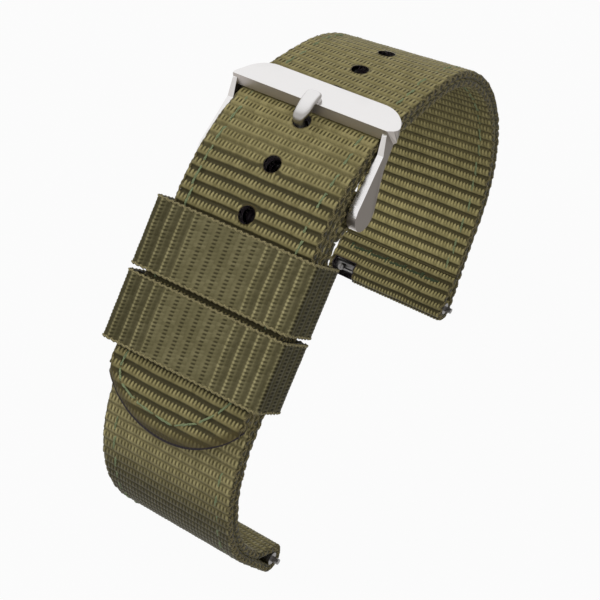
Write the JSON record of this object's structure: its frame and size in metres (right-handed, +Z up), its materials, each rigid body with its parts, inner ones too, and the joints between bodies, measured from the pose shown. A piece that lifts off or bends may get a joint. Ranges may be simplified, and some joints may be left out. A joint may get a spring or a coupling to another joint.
{
  "type": "nylon watch strap",
  "caption": "Two-piece ribbed nylon watch strap buckled into a loop, with a polished pin buckle, webbing keepers, a punched tail and quick-release spring bars.",
  "frame": {"origin": "centre of the bounding box, at the level its two lug ends stand on", "axes": "+X along the strap's width and the spring bars, +Y from the buckled front of the loop to its back, +Z up from the lug ends to the crown of the loop"},
  "size_m": [0.0228, 0.0683, 0.0534],
  "materials": {
    "strap_webbing": "ribbed nylon webbing, olive green",
    "keeper_webbing": "ribbed nylon webbing, olive green, ribs along the strap",
    "light_thread": "light green sewing thread",
    "dark_thread": "dark green sewing thread",
    "buckle_steel": "polished face, fine brushed sides",
    "bar_steel": "drawn steel"
  },
  "bodies": {
    "strap": {"long_webbing": "strap_webbing", "long_edge_stitching": "light_thread", "long_tip_stitching": "light_thread", "long_lug_stitching": "dark_thread", "short_webbing": "strap_webbing", "short_edge_stitching": "light_thread", "short_lug_stitching": "dark_thread", "short_buckle_stitching": "dark_thread"},
    "buckle": {"buckle_frame": "buckle_steel"},
    "tongue": {"buckle_tongue": "buckle_steel"},
    "buckle_bar": {"buckle_bar_tube": "bar_steel", "buckle_bar_spring": "bar_steel"},
    "buckle_pin_left": {"buckle_pin_left": "bar_steel"},
    "buckle_pin_right": {"buckle_pin_right": "bar_steel"},
    "upper_keeper": {"keeper_upper": "keeper_webbing", "keeper_upper_stitching": "dark_thread"},
    "lower_keeper": {"keeper_lower": "keeper_webbing", "keeper_lower_stitching": "dark_thread"},
    "back_bar": {"long_bar_tube": "bar_steel", "long_bar_spring": "bar_steel", "long_bar_fixed_tip": "bar_steel"},
    "back_release": {"long_bar_moving_tip": "bar_steel", "long_bar_lever": "bar_steel"},
    "front_bar": {"short_bar_tube": "bar_steel", "short_bar_spring": "bar_steel", "short_bar_fixed_tip": "bar_steel"},
    "front_release": {"short_bar_moving_tip": "bar_steel", "short_bar_lever": "bar_steel"}
  },
  "joints": [
    {"name": "buckle_swing", "type": "hinge", "parent": "strap", "child": "buckle", "pos_m": [0, -0.00054, 0.04525], "axis": [1, 0, 0], "range_deg": [0, 2]},
    {"name": "tongue_lift", "type": "hinge", "parent": "buckle", "child": "tongue", "pos_m": [0, -0.00054, 0.04525], "axis": [1, 0, 0], "range_deg": [0, 2.5]},
    {"name": "buckle_bar_spin", "type": "hinge", "parent": "strap", "child": "buckle_bar", "pos_m": [0, -0.00054, 0.04525], "axis": [1, 0, 0], "continuous": true},
    {"name": "buckle_pin_left_push", "type": "slide", "parent": "buckle_bar", "child": "buckle_pin_left", "axis": [1, 0, 0], "range_m": [0, 0.0008], "stiffness_N_per_m": 300, "deforming": ["buckle_bar_spring"]},
    {"name": "buckle_pin_right_push", "type": "slide", "parent": "buckle_bar", "child": "buckle_pin_right", "axis": [-1, 0, 0], "range_m": [0, 0.0008], "stiffness_N_per_m": 300, "deforming": ["buckle_bar_spring"]},
    {"name": "upper_keeper_slide", "type": "slide", "parent": "strap", "child": "upper_keeper", "axis": [0, 0.8229, 0.5682], "range_m": [-0.0001, 0.002]},
    {"name": "lower_keeper_slide", "type": "slide", "parent": "strap", "child": "lower_keeper", "axis": [0, 0.8229, 0.5682], "range_m": [-0.0035, 0.0001]},
    {"name": "back_bar_turn", "type": "hinge", "parent": "strap", "child": "back_bar", "pos_m": [0, 0.01821, 0.00212], "axis": [1, 0, 0], "range_deg": [-15, 60]},
    {"name": "front_bar_turn", "type": "hinge", "parent": "strap", "child": "front_bar", "pos_m": [0, -0.02842, 0.00212], "axis": [1, 0, 0], "range_deg": [-60, 15]},
    {"name": "back_release_slide", "type": "slide", "parent": "back_bar", "child": "back_release", "axis": [1, 0, 0], "range_m": [0, 0.0012], "stiffness_N_per_m": 300, "deforming": ["long_bar_spring"]},
    {"name": "front_release_slide", "type": "slide", "parent": "front_bar", "child": "front_release", "axis": [1, 0, 0], "range_m": [0, 0.0012], "stiffness_N_per_m": 300, "deforming": ["short_bar_spring"]}
  ]
}
